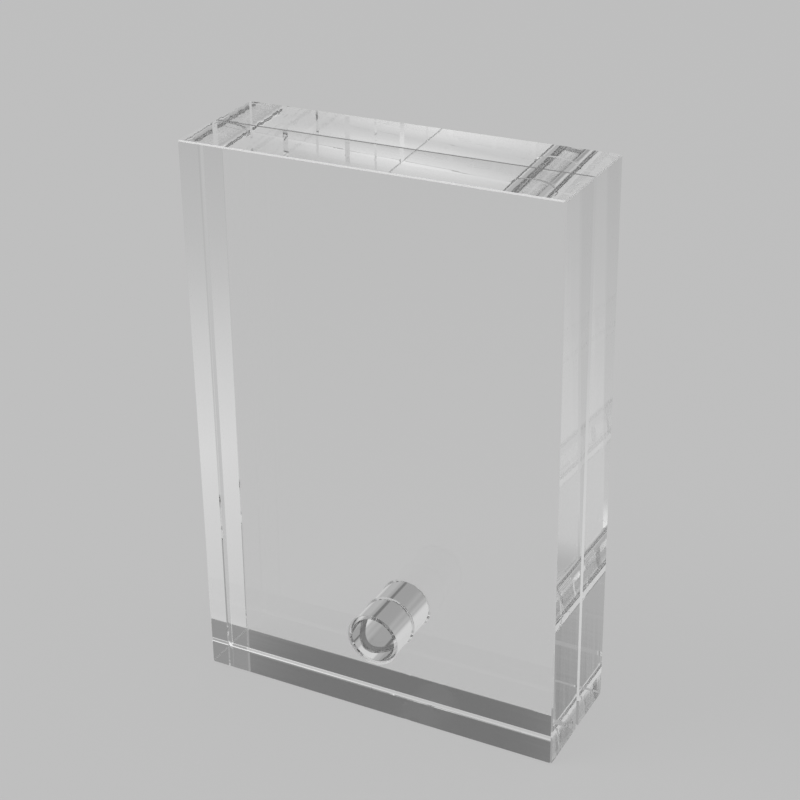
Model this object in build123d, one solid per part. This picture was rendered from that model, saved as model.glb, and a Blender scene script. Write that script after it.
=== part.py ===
"""Clear acrylic block frame: two thick polished slabs, stood on edge and pinned together by one clear peg.

Millimetres. X is the width, Y the depth and Z the height. The front face looks toward -Y.
The origin is the middle of the footprint, on the surface that the block stands on, and the
slit that takes the print lies in the middle of the depth.
"""

from build123d import *
import os

# The slabs, each the size of the print that is held between them
width = 101.6
height = 152.4
front_thickness = 17.0
rear_thickness = 17.0

# The slit between the slabs, as wide as one photographic print is thick
print_slit = 0.25

# Bevels on the polished edges: round the outer faces, along the slit's sides and foot, along its open
# top where the print goes in, and along the four corners
face_bevel = 0.35
slit_bevel = 0.75
slit_top_bevel = 0.2
corner_bevel = 0.3

# The peg's bore, through both slabs on the centreline
bore_diameter = 14.0
bore_height = 22.5
bore_rim_bevel = 0.35

# The peg: the gap all round it, how far it stands back from the faces, its bevelled front end, and the
# wide lead-in bevel at its rear end that finds the second bore
peg_clearance = 0.05
peg_setback = 0.15
peg_end_bevel = 0.8
peg_lead_in = 1.4

depth = front_thickness + print_slit + rear_thickness
front_y = -depth / 2
slit_front_y = front_y + front_thickness
slit_rear_y = slit_front_y + print_slit
rear_y = depth / 2


def across(span, near_y, near, near_high, far_y, far, far_high):
    """A section through the thickness, span wide: bevels near and far, near_high and far_high at its high end."""
    half = span / 2
    return Polygon(
        (-half, near_y + near),
        (-half + near, near_y),
        (half - near_high, near_y),
        (half, near_y + near_high),
        (half, far_y - far_high),
        (half - far_high, far_y),
        (-half + far, far_y),
        (-half, far_y - far),
        align=None,
    )


def slab(near_y, near_bevel, near_top_bevel, far_y, far_bevel, far_top_bevel):
    """A slab from near_y back to far_y, bevelled round both faces, with the peg's bore through it."""
    face = Rectangle(width, height, align=(Align.CENTER, Align.MIN))
    face = chamfer(face.vertices(), corner_bevel)
    thickness = far_y - near_y
    from_front = Plane(origin=(0, far_y, 0), x_dir=(1, 0, 0), z_dir=(0, -1, 0))
    from_side = Plane(origin=(0, 0, height / 2), x_dir=(0, 0, 1), z_dir=(-1, 0, 0))
    body = extrude(from_front * face, thickness)
    side_to_side = across(width, near_y, near_bevel, near_bevel, far_y, far_bevel, far_bevel)
    foot_to_top = across(height, near_y, near_bevel, near_top_bevel, far_y, far_bevel, far_top_bevel)
    body &= extrude(side_to_side, height)
    body &= extrude(from_side * foot_to_top, width, both=True)
    bore = Cylinder(bore_diameter / 2, thickness, rotation=(90, 0, 0))
    body -= Pos(0, (near_y + far_y) / 2, bore_height) * bore
    return chamfer(body.edges().filter_by(GeomType.CIRCLE), bore_rim_bevel)


def round_peg():
    """The clear peg along the bore, bevelled in front and tapered behind."""
    length = depth - 2 * peg_setback
    bar = Cylinder(bore_diameter / 2 - peg_clearance, length, rotation=(90, 0, 0))
    bar = chamfer(bar.edges().filter_by(GeomType.CIRCLE).sort_by(Axis.Y)[0], peg_end_bevel)
    bar = chamfer(bar.edges().filter_by(GeomType.CIRCLE).sort_by(Axis.Y)[-1], peg_lead_in)
    return Pos(0, 0, bore_height) * bar


pieces = {
    "front_slab": slab(front_y, face_bevel, face_bevel, slit_front_y, slit_bevel, slit_top_bevel),
    "rear_slab": slab(slit_rear_y, slit_bevel, slit_top_bevel, rear_y, face_bevel, face_bevel),
    "peg": round_peg(),
}

os.makedirs("parts", exist_ok=True)
for name, shape in pieces.items():
    export_step(shape, f"parts/{name}.step")
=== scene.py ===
"""Looks of the clear acrylic block frame: two polished slabs, their peg, and a plain grey studio."""

import math

import bmesh
import bpy
from bpy.props import FloatProperty, FloatVectorProperty, IntProperty, PointerProperty
from bpy.types import Operator, Panel, PropertyGroup
from mathutils import Euler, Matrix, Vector


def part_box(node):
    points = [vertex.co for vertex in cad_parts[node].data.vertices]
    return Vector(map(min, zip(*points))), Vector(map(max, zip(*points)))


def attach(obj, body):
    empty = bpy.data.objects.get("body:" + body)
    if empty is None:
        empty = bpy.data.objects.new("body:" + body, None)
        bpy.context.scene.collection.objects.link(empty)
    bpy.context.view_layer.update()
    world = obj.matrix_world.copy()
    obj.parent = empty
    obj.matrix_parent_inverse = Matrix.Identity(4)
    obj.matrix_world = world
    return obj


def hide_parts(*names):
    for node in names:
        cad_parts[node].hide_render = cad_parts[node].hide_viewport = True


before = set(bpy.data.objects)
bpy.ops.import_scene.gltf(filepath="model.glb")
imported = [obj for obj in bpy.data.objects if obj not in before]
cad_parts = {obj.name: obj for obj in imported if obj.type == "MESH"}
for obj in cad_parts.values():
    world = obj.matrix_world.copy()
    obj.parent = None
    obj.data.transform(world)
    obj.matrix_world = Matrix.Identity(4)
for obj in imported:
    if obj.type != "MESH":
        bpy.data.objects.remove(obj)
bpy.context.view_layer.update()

bl_info = {
    "name": "Acrylic block frame",
    "version": (1, 0, 0),
    "blender": (4, 5, 0),
    "location": "View3D > Sidebar > Block frame",
    "description": "Builds the polished slabs, the peg and the studio of a clear acrylic block frame",
    "category": "Add Mesh",
}

FRONT_LOW, FRONT_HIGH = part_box("front_slab")
REAR_LOW, REAR_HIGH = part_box("rear_slab")
PEG_LOW, PEG_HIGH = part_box("peg")
BORE_X = (PEG_LOW.x + PEG_HIGH.x) / 2
BORE_Z = (PEG_LOW.z + PEG_HIGH.z) / 2
PEG_RADIUS = (PEG_HIGH.x - PEG_LOW.x) / 2

# The room that the polished faces mirror: (degrees above the floor, grey level)
ROOM_ZONES = (
    (-90, 0.44),
    (20, 0.44),
    (27, 0.37),
    (34, 0.33),
    (50, 0.32),
    (58, 0.4),
    (65, 0.62),
    (80, 0.9),
    (90, 1.0),
)

# Lighter and darker spots in that room: turn from +Y towards +X and height, inner and outer radius, all in
# degrees, and how many times as light the middle is
ROOM_SPOTS = (
    (-28, 38, 3, 8, 0.4),
    (42, 38, 6, 13, 0.78),
    (30, 12, 5, 14, 0.65),
    (-16, 35, 1.5, 3.5, 2),
    (6, 38, 1, 2.5, 2),
)

# Pools of light painted on the floor, which the block mirrors and which add up: centre and reach in
# metres, pairs of (share of the reach, grey level), and how much of the pool is left in what has been
# mirrored four times; below zero, the pool paints shade there instead
POOLS = (
    (
        (0.02, 0.1, 0),
        (1.2, 1.2, 1.2),
        (
            (1, 0.4),
            (0.5, 0.42),
            (0.33, 0.45),
            (0.25, 0.48),
            (0.167, 0.51),
            (0.125, 0.54),
            (0.083, 0.6),
            (0, 0.7),
        ),
        1,
    ),
    (
        (-0.058, 0.004, 0),
        (0.075, 0.018, 0.034),
        (
            (0.95, 0),
            (0.8, 0.03),
            (0.65, 0.1),
            (0.5, 0.18),
            (0.35, 0.25),
            (0.2, 0.32),
            (0, 0.36),
        ),
        # Below zero: what has been mirrored four times sees painted shade here instead of this pool's
        # light
        -0.5,
    ),
)

# The camera that fits the photograph: place in metres, turn in degrees, and lens shift in frame widths
CAMERA_PLACE = (0.19104, -0.36722, 0.29419)
CAMERA_TURN = (64.477, 1.507, 28.578)
CAMERA_SHIFT = (0.0669, -0.0506)

# Where the lamps look: the middle of the block, in metres
LAMP_AIM = (0, 0, 0.08)

# Light that shines straight through the block crosses both faces of both slabs
FACES_IN_A_ROW = 4

# How often light may turn inside the block before it is lost
LIGHT_TURNS = 40

# The outline's sides that are short corners or the top, counted round from the foot
LOWER_CORNERS = (1, 7)
UPPER_CORNERS = (3, 5)
TOP_SIDE = 4

# A length, in metres, too small to matter
HAIR = 1e-6

# Worn patches in the polish: their number a metre, and the levels of the noise between which wear sets in
WORN_PATCHES = 60
WORN_FROM, WORN_TO = 0.55, 0.8

# Roughness of a dull finish in its clearest and its dullest lines
DULL_LEAST, DULL_MOST = 0.25, 0.55


class BlockSlabSettings(PropertyGroup):
    """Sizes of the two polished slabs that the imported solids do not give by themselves."""

    face_bevel: FloatProperty(
        name="Face bevel",
        description="Width of the polished bevel round the outer faces",
        default=0.00035,
        unit="LENGTH",
    )
    slit_bevel: FloatProperty(
        name="Slit bevel",
        description="Width of the bevel along the slit's sides and foot",
        default=0.00075,
        unit="LENGTH",
    )
    slit_top_bevel: FloatProperty(
        name="Slit top bevel",
        description="Width of the bevel along the slit's open top",
        default=0.0002,
        unit="LENGTH",
    )
    corner_bevel: FloatProperty(
        name="Corner bevel",
        description="Width of the bevel along the four short corners",
        default=0.0003,
        unit="LENGTH",
    )
    rim_bevel: FloatProperty(
        name="Bore rim bevel",
        description="Width of the bevel round the mouths of the peg's bore",
        default=0.00035,
        unit="LENGTH",
    )
    peg_clearance: FloatProperty(
        name="Peg clearance",
        description="Gap between the peg and the wall of its bore",
        default=0.00005,
        unit="LENGTH",
    )
    bore_step: FloatProperty(
        name="Bore step",
        description="Angle between neighbouring points round the bore",
        default=math.radians(2.5),
        subtype="ANGLE",
    )


class BlockPegSettings(PropertyGroup):
    """Sizes of the peg."""

    end_bevel: FloatProperty(
        name="End bevel",
        description="Width of the bevel round the front end of the peg",
        default=0.0008,
        unit="LENGTH",
    )
    lead_in: FloatProperty(
        name="Lead-in",
        description="Width of the lead-in bevel round the rear end of the peg",
        default=0.0014,
        unit="LENGTH",
    )
    sides: IntProperty(
        name="Sides",
        description="Number of flats round the peg before shading smooths them",
        default=144,
        min=24,
    )


class BlockAcrylicSettings(PropertyGroup):
    """The clear acrylic and how well it is polished."""

    tint: FloatVectorProperty(
        name="Acrylic tint",
        description="Colour that one crossing of the surface lets through",
        subtype="COLOR",
        size=3,
        min=0,
        max=1,
        default=(0.998, 0.998, 0.998),
    )
    refraction: FloatProperty(
        name="Refractive index",
        description="How strongly the acrylic bends light",
        default=1.49,
        min=1,
        max=2,
    )
    turned_tint: FloatVectorProperty(
        name="Turned tint",
        description="Colour of the dull skin that the lathe leaves on the peg's lead-in",
        subtype="COLOR",
        size=3,
        min=0,
        max=1,
        default=(0.42, 0.42, 0.42),
    )
    turned_clearness: FloatProperty(
        name="Turned clearness",
        description="Share of light that still passes the dull skin",
        default=0.6,
        min=0,
        max=1,
        subtype="FACTOR",
    )
    rubbed_tint: FloatVectorProperty(
        name="Rubbed tint",
        description="Colour of the frosted skin that sanding leaves on the bevels round the top",
        subtype="COLOR",
        size=3,
        min=0,
        max=1,
        default=(0.96, 0.96, 0.96),
    )
    rubbed_clearness: FloatProperty(
        name="Rubbed clearness",
        description="Share of light that still passes the frosted skin",
        default=0.4,
        min=0,
        max=1,
        subtype="FACTOR",
    )
    # The painted shade of the seam: a dark tint and low clearness on the bevel in the slit's mouth stand
    # in for the shade between the slabs
    seam_shade_tint: FloatVectorProperty(
        name="Seam shade tint",
        description="Colour of the dull bevel that faces the viewer in the slit's mouth",
        subtype="COLOR",
        size=3,
        min=0,
        max=1,
        default=(0.25, 0.25, 0.25),
    )
    seam_shade_clearness: FloatProperty(
        name="Seam shade clearness",
        description="Share of light that still passes the bevel in the slit's mouth",
        default=0.3,
        min=0,
        max=1,
        subtype="FACTOR",
    )
    edge_ripple: FloatProperty(
        name="Edge ripple",
        description="Depth of the cutter's ripple left in the polished edges",
        default=0.000015,
        unit="LENGTH",
    )
    face_ripple: FloatProperty(
        name="Face ripple",
        description="Depth of the slow waves in the cast faces",
        default=0.0000005,
        unit="LENGTH",
    )


class BlockStageSettings(PropertyGroup):
    """The plain studio round the block."""

    floor_color: FloatVectorProperty(
        name="Floor colour",
        description="Colour of the floor and of the background that it runs into",
        subtype="COLOR",
        size=3,
        min=0,
        max=1,
        default=(0.524, 0.524, 0.524),
    )
    floor_size: FloatProperty(
        name="Floor size",
        description="Length of one side of the floor",
        default=12.0,
        unit="LENGTH",
    )
    air_under_block: FloatProperty(
        name="Air under the block",
        description="Thin air gap between the floor and the block's polished foot",
        default=0.0001,
        unit="LENGTH",
    )
    shadow_share: FloatProperty(
        name="Shadow share",
        description="Share of the floor's look that follows the light and its shadows",
        default=0.1,
        min=0,
        max=1,
        subtype="FACTOR",
    )
    lens: FloatProperty(
        name="Lens",
        description="Focal length of the camera, in millimetres",
        default=82.2,
    )


def new_material(name):
    """An empty node material with its output, and its node tree."""
    material = bpy.data.materials.new(name)
    material.use_nodes = True
    material.node_tree.nodes.clear()
    return material, material.node_tree


def noise(tree, scale, detail):
    """Noise over the piece, with scale waves a metre along X, Y and Z."""
    place = tree.nodes.new("ShaderNodeTexCoord")
    stretch = tree.nodes.new("ShaderNodeMapping")
    stretch.inputs["Scale"].default_value = scale
    waves = tree.nodes.new("ShaderNodeTexNoise")
    waves.inputs["Scale"].default_value = 1
    waves.inputs["Detail"].default_value = detail
    tree.links.new(place.outputs["Object"], stretch.inputs["Vector"])
    tree.links.new(stretch.outputs["Vector"], waves.inputs["Vector"])
    return waves.outputs["Fac"]


def carried(tree, value, from_range, to_range, interpolation="LINEAR"):
    """The value carried from one range to another, and held at the ends."""
    node = tree.nodes.new("ShaderNodeMapRange")
    node.interpolation_type = interpolation
    node.inputs["From Min"].default_value, node.inputs["From Max"].default_value = from_range
    node.inputs["To Min"].default_value, node.inputs["To Max"].default_value = to_range
    tree.links.new(value, node.inputs["Value"])
    return node.outputs["Result"]


def math_node(tree, operation, *values):
    """The result of a Math node that takes sockets or plain numbers."""
    node = tree.nodes.new("ShaderNodeMath")
    node.operation = operation
    for socket, value in zip(node.inputs, values):
        if isinstance(value, bpy.types.NodeSocket):
            tree.links.new(value, socket)
        else:
            socket.default_value = value
    return node.outputs["Value"]


def acrylic_shader(name, tint, clearness):
    """A new acrylic material, its node tree and its shader's node.

    clearness is the share of light that the acrylic lets through.
    """
    material, tree = new_material(name)
    output = tree.nodes.new("ShaderNodeOutputMaterial")
    shader = tree.nodes.new("ShaderNodeBsdfPrincipled")
    shader.inputs["Base Color"].default_value = (*tint, 1)
    shader.inputs["IOR"].default_value = bpy.context.scene.block_acrylic.refraction
    shader.inputs["Transmission Weight"].default_value = clearness
    tree.links.new(shader.outputs["BSDF"], output.inputs["Surface"])
    return material, tree, shader


def acrylic(name, ripple_depth, ripple_size, stretch, wear):
    """Clear acrylic: ripple_size is the length of one wave, stretch its lie along X, Y and Z.

    wear is the roughness that the worn patches reach.
    """
    material, tree, shader = acrylic_shader(name, bpy.context.scene.block_acrylic.tint, clearness=1)
    bump = tree.nodes.new("ShaderNodeBump")
    bump.inputs["Strength"].default_value = 1
    bump.inputs["Distance"].default_value = ripple_depth
    ripple = noise(tree, [s / ripple_size for s in stretch], detail=2)
    tree.links.new(ripple, bump.inputs["Height"])
    tree.links.new(bump.outputs["Normal"], shader.inputs["Normal"])
    patches = noise(tree, (WORN_PATCHES, WORN_PATCHES, WORN_PATCHES), detail=4)
    roughness = carried(tree, patches, (WORN_FROM, WORN_TO), (0, wear))
    tree.links.new(roughness, shader.inputs["Roughness"])
    return material


def dulled_acrylic(name, tint, clearness, grain):
    """Acrylic as a lathe or sandpaper leaves it: dull, with fine lines. In the slit's mouth its dark tint
    paints shade.

    grain is the number of lines a metre along X, Y and Z.
    """
    material, tree, shader = acrylic_shader(name, tint, clearness)
    lines = noise(tree, grain, detail=3)
    roughness = carried(tree, lines, (0, 1), (DULL_LEAST, DULL_MOST))
    tree.links.new(roughness, shader.inputs["Roughness"])
    return material


def outline_points(low, high, inset, top_inset, corner):
    """The eight corners of a slab's outline drawn in, as (x, z) anticlockwise from the lower left."""
    left, right = low.x + inset, high.x - inset
    bottom, top = low.z + inset, high.z - top_inset
    return [
        (left + corner, bottom),
        (right - corner, bottom),
        (right, bottom + corner),
        (right, top - corner),
        (right - corner, top),
        (left + corner, top),
        (left, top - corner),
        (left, bottom + corner),
    ]


def outline_marks(corners, step):
    """Where points stand along the outline: (side, share of it), spread evenly as seen from the bore."""
    marks = []
    for side, (start, end) in enumerate(zip(corners, corners[1:] + corners[:1])):
        a = math.atan2(start[1] - BORE_Z, start[0] - BORE_X)
        turn = (math.atan2(end[1] - BORE_Z, end[0] - BORE_X) - a) % math.tau
        count = max(1, round(turn / step))
        for k in range(count):
            angle = a + turn * k / count
            ray = (math.cos(angle), math.sin(angle))
            run = (end[0] - start[0], end[1] - start[1])
            off = (BORE_X - start[0], BORE_Z - start[1])
            share = (off[0] * ray[1] - off[1] * ray[0]) / (run[0] * ray[1] - run[1] * ray[0])
            marks.append((side, share, angle))
    return marks


def loop_on_outline(marks, corners, y):
    """Points of one loop that follows the slab's outline at depth y."""
    points = []
    for side, share, _ in marks:
        start, end = corners[side], corners[(side + 1) % len(corners)]
        x, z = (a + (b - a) * share for a, b in zip(start, end))
        points.append(Vector((x, y, z)))
    return points


def loop_at_bevels(marks, corners, y, bevels):
    """Points of the loop where the bevels of the face at depth y run out into the slab's edges."""
    round_it, along_top = bevels
    top = max(z for _, z in corners)
    loop = []
    for point in loop_on_outline(marks, corners, y):
        upper = point.z > top - HAIR
        loop.append(point + Vector((0, along_top if upper else round_it, 0)))
    return loop


def loop_on_circle(marks, radius, y):
    """Points of one loop round the bore at depth y, in step with the outline's."""
    return [
        Vector((BORE_X + radius * math.cos(angle), y, BORE_Z + radius * math.sin(angle)))
        for _, _, angle in marks
    ]


def skin_loops(name, loops, roles, caps, materials, exceptions=None):
    """A mesh whose skin runs from loop to loop, as a ring or closed by two caps whose materials are given.

    Each strip's role gives its material and shading. exceptions gives other materials to single faces,
    by (strip, place along it).
    """
    exceptions = exceptions or {}
    bm = bmesh.new()
    rings = [[bm.verts.new(p) for p in loop] for loop in loops]
    pairs = list(zip(rings, rings[1:] if caps else rings[1:] + rings[:1]))
    for strip, ((near, far), (slot, smooth)) in enumerate(zip(pairs, roles)):
        for k in range(len(near)):
            after = (k + 1) % len(near)
            face = bm.faces.new((near[k], near[after], far[after], far[k]))
            face.material_index = exceptions.get((strip, k), slot)
            face.smooth = smooth
    for ring in rings:
        for start, end in zip(ring, ring[1:] + ring[:1]):
            bm.edges.get((start, end)).smooth = False
    if caps:
        bm.faces.new(rings[0][::-1]).material_index = caps[0]
        bm.faces.new(rings[-1]).material_index = caps[1]
    bmesh.ops.recalc_face_normals(bm, faces=bm.faces)
    mesh = bpy.data.meshes.new(name)
    bm.to_mesh(mesh)
    bm.free()
    for material in materials:
        mesh.materials.append(material)
    piece = bpy.data.objects.new(name, mesh)
    bpy.context.scene.collection.objects.link(piece)
    return piece


def polished_slab(name, low, high, near_bevels, far_bevels, in_front):
    """One slab with its bore, as skin loops that go out over its near face and come back over its far one.

    Each face's bevels are (round it, along its top). On the slab in front, the near face's top bevel and
    the bore's near rim are rubbed. On the one behind, that top bevel lies in the slit's mouth and carries
    the painted shade of the seam.
    The short corners are rubbed, the lower ones more clearly.
    """
    size = bpy.context.scene.block_slab
    radius = PEG_RADIUS + size.peg_clearance
    flush = outline_points(low, high, 0, 0, size.corner_bevel)
    marks = outline_marks(flush, size.bore_step)
    near, far, rim = low.y, high.y, size.rim_bevel
    face, edge, bevel, bore, rubbed, corner, seam_shade = range(7)
    near_outline = outline_points(low, high, *near_bevels, size.corner_bevel)
    far_outline = outline_points(low, high, *far_bevels, size.corner_bevel)
    inward_from_far = [-bevel_width for bevel_width in far_bevels]
    loops_and_roles = [
        (loop_on_circle(marks, radius, near + rim), (rubbed if in_front else bevel, True)),
        (loop_on_circle(marks, radius + rim, near), (face, False)),
        (loop_on_outline(marks, near_outline, near), (bevel, False)),
        (loop_at_bevels(marks, flush, near, near_bevels), (edge, False)),
        (loop_at_bevels(marks, flush, far, inward_from_far), (bevel, False)),
        (loop_on_outline(marks, far_outline, far), (face, False)),
        (loop_on_circle(marks, radius + rim, far), (bevel, True)),
        (loop_on_circle(marks, radius, far - rim), (bore, True)),
    ]
    loops, roles = zip(*loops_and_roles)
    near_bevel_strip, edge_strip = 2, 3
    # On the rear slab, the top bevel in the slit's mouth takes the painted shade of the seam
    finish_by_side = {(near_bevel_strip, TOP_SIDE): rubbed if in_front else seam_shade}
    for side in LOWER_CORNERS:
        finish_by_side[edge_strip, side] = corner
    for side in UPPER_CORNERS:
        finish_by_side[edge_strip, side] = rubbed
    exceptions = {
        (strip, k): finish
        for (strip, side), finish in finish_by_side.items()
        for k, mark in enumerate(marks)
        if mark[0] == side
    }
    return skin_loops(name, loops, roles, caps=None, materials=slab_finishes(), exceptions=exceptions)


def slab_finishes():
    """The finishes that both slabs share, in the order in which polished_slab counts them."""
    look = bpy.context.scene.block_acrylic
    names = (
        "cast_face",
        "polished_edge",
        "polished_bevel",
        "bored_wall",
        "rubbed_bevel",
        "rubbed_corner",
        "painted_seam_shade",
    )
    made = [bpy.data.materials.get(n) for n in names]
    if all(made):
        return made
    return [
        acrylic("cast_face", look.face_ripple, ripple_size=0.02, stretch=(1, 1, 1), wear=0.02),
        acrylic("polished_edge", look.edge_ripple, ripple_size=0.004, stretch=(0.03, 1, 0.03), wear=0.03),
        acrylic("polished_bevel", look.face_ripple, ripple_size=0.002, stretch=(1, 1, 1), wear=0.1),
        acrylic("bored_wall", look.face_ripple, ripple_size=0.002, stretch=(1, 1, 1), wear=0.1),
        dulled_acrylic("rubbed_bevel", look.rubbed_tint, look.rubbed_clearness, grain=(1500, 1500, 1500)),
        dulled_acrylic("rubbed_corner", tint=(1, 1, 1), clearness=1, grain=(3000, 200, 3000)),
        # The bevel in the slit's mouth: painted shade for the seam, darkened by its tint
        dulled_acrylic("painted_seam_shade", look.seam_shade_tint, look.seam_shade_clearness, grain=(200, 3000, 3000)),
    ]


class BLOCK_OT_front_slab(Operator):
    """Builds the polished front slab"""

    bl_idname = "block.front_slab"
    bl_label = "Front slab"

    def execute(self, context):
        size = context.scene.block_slab
        outer = (size.face_bevel, size.face_bevel)
        inner = (size.slit_bevel, size.slit_top_bevel)
        piece = polished_slab("front_slab_clear", FRONT_LOW, FRONT_HIGH, outer, inner, in_front=True)
        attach(piece, "front_slab")
        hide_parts("front_slab")
        return {"FINISHED"}


class BLOCK_OT_rear_slab(Operator):
    """Builds the polished rear slab"""

    bl_idname = "block.rear_slab"
    bl_label = "Rear slab"

    def execute(self, context):
        size = context.scene.block_slab
        outer = (size.face_bevel, size.face_bevel)
        inner = (size.slit_bevel, size.slit_top_bevel)
        piece = polished_slab("rear_slab_clear", REAR_LOW, REAR_HIGH, inner, outer, in_front=False)
        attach(piece, "rear_slab")
        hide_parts("rear_slab")
        return {"FINISHED"}


class BLOCK_OT_peg(Operator):
    """Builds the clear peg in its bore"""

    bl_idname = "block.peg"
    bl_label = "Peg"

    def execute(self, context):
        size = context.scene.block_peg
        look = context.scene.block_acrylic
        marks = [(0, 0, math.tau * k / size.sides) for k in range(size.sides)]
        near, far = PEG_LOW.y, PEG_HIGH.y
        end, side, lead_in = range(3)
        loops = [
            loop_on_circle(marks, PEG_RADIUS - size.end_bevel, near),
            loop_on_circle(marks, PEG_RADIUS, near + size.end_bevel),
            loop_on_circle(marks, PEG_RADIUS, far - size.lead_in),
            loop_on_circle(marks, PEG_RADIUS - size.lead_in, far),
        ]
        finishes = [
            acrylic("peg_end", look.face_ripple, ripple_size=0.003, stretch=(1, 1, 1), wear=0.05),
            acrylic("peg_side", look.face_ripple, ripple_size=0.002, stretch=(1, 0.2, 1), wear=0.1),
            dulled_acrylic("peg_lead_in", look.turned_tint, look.turned_clearness, grain=(400, 6000, 400)),
        ]
        roles = [(end, True), (side, True), (lead_in, True)]
        piece = skin_loops("peg_clear", loops, roles, caps=(end, end), materials=finishes)
        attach(piece, "peg")
        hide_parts("peg")
        return {"FINISHED"}


def seen_plainly(tree, depthwise):
    """1 for what the camera sees directly or straight through both slabs' faces, else 0.

    depthwise is the socket of the place looked at, along Y. What lies in front of the block isn't seen
    through it.
    """
    path = tree.nodes.new("ShaderNodeLightPath")
    unmirrored = math_node(tree, "LESS_THAN", path.outputs["Glossy Depth"], 0.5)
    crossed = math_node(tree, "COMPARE", path.outputs["Transmission Depth"], FACES_IN_A_ROW, 0.5)
    behind = math_node(tree, "GREATER_THAN", depthwise, 0)
    straight = math_node(tree, "MULTIPLY", unmirrored, crossed)
    seen_through = math_node(tree, "MULTIPLY", straight, behind)
    return math_node(tree, "MAXIMUM", path.outputs["Is Camera Ray"], seen_through)


def grey_ramp(tree, stops):
    """A colour ramp of greys from (position, level) pairs."""
    ramp = tree.nodes.new("ShaderNodeValToRGB")
    elements = ramp.color_ramp.elements
    while len(elements) < len(stops):
        elements.new(0.5)
    for element, (position, level) in zip(elements, stops):
        element.position = position
        element.color = (level, level, level, 1)
    return ramp


def studio_world(look):
    """A plain grey room: the background's grey to the camera, soft light and dark zones to the block."""
    world = bpy.data.worlds.new("studio")
    bpy.context.scene.world = world
    world.use_nodes = True
    tree = world.node_tree
    nodes, links = tree.nodes, tree.links
    nodes.clear()
    output = nodes.new("ShaderNodeOutputWorld")
    mix = nodes.new("ShaderNodeMixShader")
    plain = nodes.new("ShaderNodeBackground")
    plain.inputs["Color"].default_value = (*look.floor_color, 1)
    room = nodes.new("ShaderNodeBackground")
    place = nodes.new("ShaderNodeTexCoord")
    split = nodes.new("ShaderNodeSeparateXYZ")
    links.new(place.outputs["Generated"], split.inputs["Vector"])
    height = carried(tree, split.outputs["Z"], (-1, 1), (0, 1))
    zones = [(0.5 + 0.5 * math.sin(math.radians(degrees)), level) for degrees, level in ROOM_ZONES]
    ramp = grey_ramp(tree, zones)
    links.new(height, ramp.inputs["Fac"])
    strength = 1
    for turn, rise, inner, outer, level in ROOM_SPOTS:
        toward = nodes.new("ShaderNodeVectorMath")
        toward.operation = "DOT_PRODUCT"
        toward.inputs[1].default_value = bearing(turn, rise)
        links.new(place.outputs["Generated"], toward.inputs[0])
        rim_to_middle = [math.cos(math.radians(radius)) for radius in (outer, inner)]
        spot = carried(tree, toward.outputs["Value"], rim_to_middle, (1, level), "SMOOTHSTEP")
        strength = math_node(tree, "MULTIPLY", strength, spot)
    links.new(ramp.outputs["Color"], room.inputs["Color"])
    links.new(strength, room.inputs["Strength"])
    links.new(seen_plainly(tree, split.outputs["Y"]), mix.inputs["Fac"])
    links.new(room.outputs["Background"], mix.inputs[1])
    links.new(plain.outputs["Background"], mix.inputs[2])
    links.new(mix.outputs["Shader"], output.inputs["Surface"])


def bearing(turn, height):
    """Unit vector at turn degrees from +Y towards +X and height degrees above the floor."""
    turn, height = math.radians(turn), math.radians(height)
    return Vector((math.sin(turn) * math.cos(height), math.cos(turn) * math.cos(height), math.sin(height)))


def studio_floor(look):
    """The plain floor: the background's grey to the camera, pools of light to the block."""
    half = look.floor_size / 2
    z = -look.air_under_block
    mesh = bpy.data.meshes.new("studio_floor")
    corners = [(-half, -half, z), (half, -half, z), (half, half, z), (-half, half, z)]
    mesh.from_pydata(corners, [], [(0, 1, 2, 3)])
    floor = bpy.data.objects.new("studio_floor", mesh)
    bpy.context.scene.collection.objects.link(floor)
    material, tree = new_material("floor_grey")
    nodes, links = tree.nodes, tree.links
    output = nodes.new("ShaderNodeOutputMaterial")
    lit = nodes.new("ShaderNodeBsdfDiffuse")
    lit.inputs["Color"].default_value = (*look.floor_color, 1)
    place = nodes.new("ShaderNodeTexCoord")
    path = nodes.new("ShaderNodeLightPath")
    four_turns = math_node(tree, "COMPARE", path.outputs["Glossy Depth"], 4, 0.5)
    light = 0
    for spot, reach, levels, after_four in POOLS:
        centre = nodes.new("ShaderNodeMapping")
        centre.inputs["Scale"].default_value = [1 / r for r in reach]
        centre.inputs["Location"].default_value = [-c / r for c, r in zip(spot, reach)]
        links.new(place.outputs["Object"], centre.inputs["Vector"])
        pool = nodes.new("ShaderNodeTexGradient")
        pool.gradient_type = "SPHERICAL"
        links.new(centre.outputs["Vector"], pool.inputs["Vector"])
        ramp = grey_ramp(tree, [(1 - share, level) for share, level in levels])
        links.new(pool.outputs["Fac"], ramp.inputs["Fac"])
        weight = math_node(tree, "MULTIPLY_ADD", four_turns, after_four - 1, 1)
        light = math_node(tree, "MULTIPLY_ADD", ramp.outputs["Color"], weight, light)
    split = nodes.new("ShaderNodeSeparateXYZ")
    links.new(place.outputs["Object"], split.inputs["Vector"])
    plainly = seen_plainly(tree, split.outputs["Y"])
    color = nodes.new("ShaderNodeMix")
    color.data_type = "RGBA"
    sockets = {socket.identifier: socket for socket in (*color.inputs, *color.outputs)}
    sockets["B_Color"].default_value = (*look.floor_color, 1)
    links.new(plainly, sockets["Factor_Float"])
    links.new(light, sockets["A_Color"])
    plain = nodes.new("ShaderNodeEmission")
    links.new(sockets["Result_Color"], plain.inputs["Color"])
    mix = nodes.new("ShaderNodeMixShader")
    links.new(math_node(tree, "MULTIPLY_ADD", plainly, -look.shadow_share, 1), mix.inputs["Fac"])
    links.new(lit.outputs["BSDF"], mix.inputs[1])
    links.new(plain.outputs["Emission"], mix.inputs[2])
    links.new(mix.outputs["Shader"], output.inputs["Surface"])
    mesh.materials.append(material)


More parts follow.
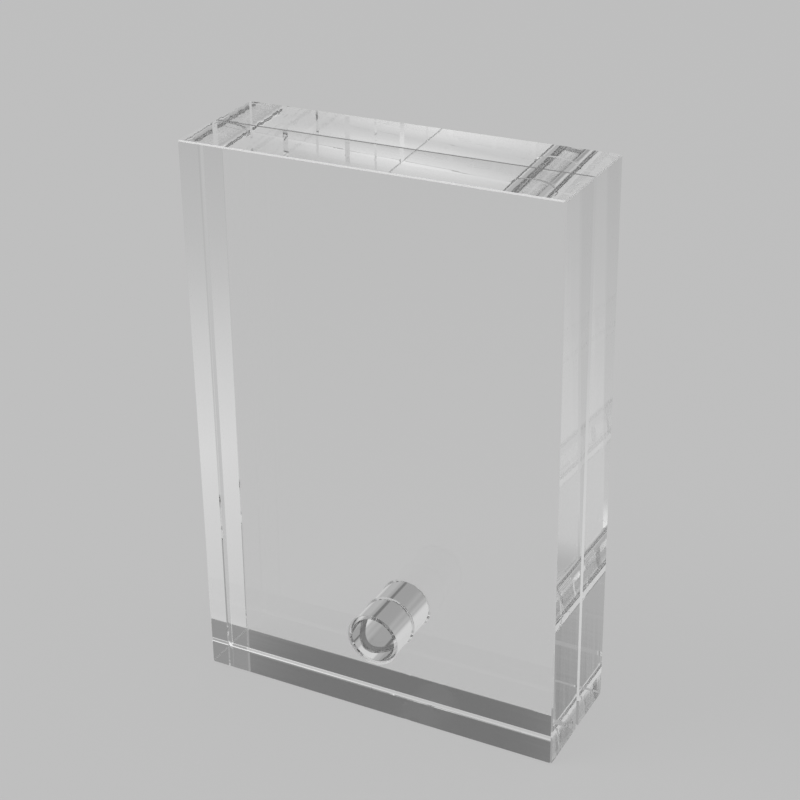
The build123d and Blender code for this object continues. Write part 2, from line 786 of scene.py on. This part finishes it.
def soft_lamp(name, turn, height, distance, size, energy):
    """One soft square lamp that faces the block from a bearing. The polished faces don't mirror it."""
    light = bpy.data.lights.new(name, "AREA")
    light.shape = "SQUARE"
    light.size = size
    light.energy = energy
    lamp = bpy.data.objects.new(name, light)
    aim = bearing(turn, height)
    lamp.location = Vector(LAMP_AIM) + aim * distance
    lamp.rotation_euler = aim.to_track_quat("Z", "Y").to_euler()
    lamp.visible_glossy = lamp.visible_transmission = False
    bpy.context.scene.collection.objects.link(lamp)


def photo_camera(look):
    """The camera at the photograph's viewing angle, from above the front right corner."""
    data = bpy.data.cameras.new("photo_camera")
    data.sensor_width = 36
    data.lens = look.lens
    data.shift_x, data.shift_y = CAMERA_SHIFT
    camera = bpy.data.objects.new("photo_camera", data)
    camera.location = CAMERA_PLACE
    camera.rotation_euler = Euler([math.radians(angle) for angle in CAMERA_TURN])
    bpy.context.scene.collection.objects.link(camera)
    bpy.context.scene.camera = camera


class BLOCK_OT_stage(Operator):
    """Sets up the floor, the room, the lamps and the camera"""

    bl_idname = "block.stage"
    bl_label = "Studio"

    def execute(self, context):
        look = context.scene.block_stage
        studio_world(look)
        studio_floor(look)
        soft_lamp("key_lamp", turn=-128, height=56, distance=2.4, size=1.2, energy=24)
        soft_lamp("top_lamp", turn=60, height=75, distance=2.4, size=1.2, energy=12)
        photo_camera(look)
        context.scene.view_settings.view_transform = "Standard"
        cycles = context.scene.cycles
        cycles.max_bounces = cycles.transmission_bounces = cycles.glossy_bounces = LIGHT_TURNS
        return {"FINISHED"}


OPERATORS = (BLOCK_OT_front_slab, BLOCK_OT_rear_slab, BLOCK_OT_peg, BLOCK_OT_stage)
SETTINGS = {
    "block_slab": BlockSlabSettings,
    "block_peg": BlockPegSettings,
    "block_acrylic": BlockAcrylicSettings,
    "block_stage": BlockStageSettings,
}


class BLOCK_PT_panel(Panel):
    """Lists the pieces and their sizes"""

    bl_idname = "BLOCK_PT_panel"
    bl_label = "Block frame"
    bl_space_type = "VIEW_3D"
    bl_region_type = "UI"
    bl_category = "Block frame"

    def draw(self, context):
        for operator in OPERATORS:
            self.layout.operator(operator.bl_idname)
        for name, group in SETTINGS.items():
            box = self.layout.box()
            for field in group.__annotations__:
                box.prop(getattr(context.scene, name), field)


def register():
    for cls in (*SETTINGS.values(), *OPERATORS, BLOCK_PT_panel):
        bpy.utils.register_class(cls)
    for name, group in SETTINGS.items():
        setattr(bpy.types.Scene, name, PointerProperty(type=group))


def unregister():
    for name in SETTINGS:
        delattr(bpy.types.Scene, name)
    for cls in reversed((*SETTINGS.values(), *OPERATORS, BLOCK_PT_panel)):
        bpy.utils.unregister_class(cls)


def main():
    """Builds every piece and the studio."""
    register()
    bpy.ops.block.front_slab()
    bpy.ops.block.rear_slab()
    bpy.ops.block.peg()
    bpy.ops.block.stage()


if __name__ == "__main__":
    main()
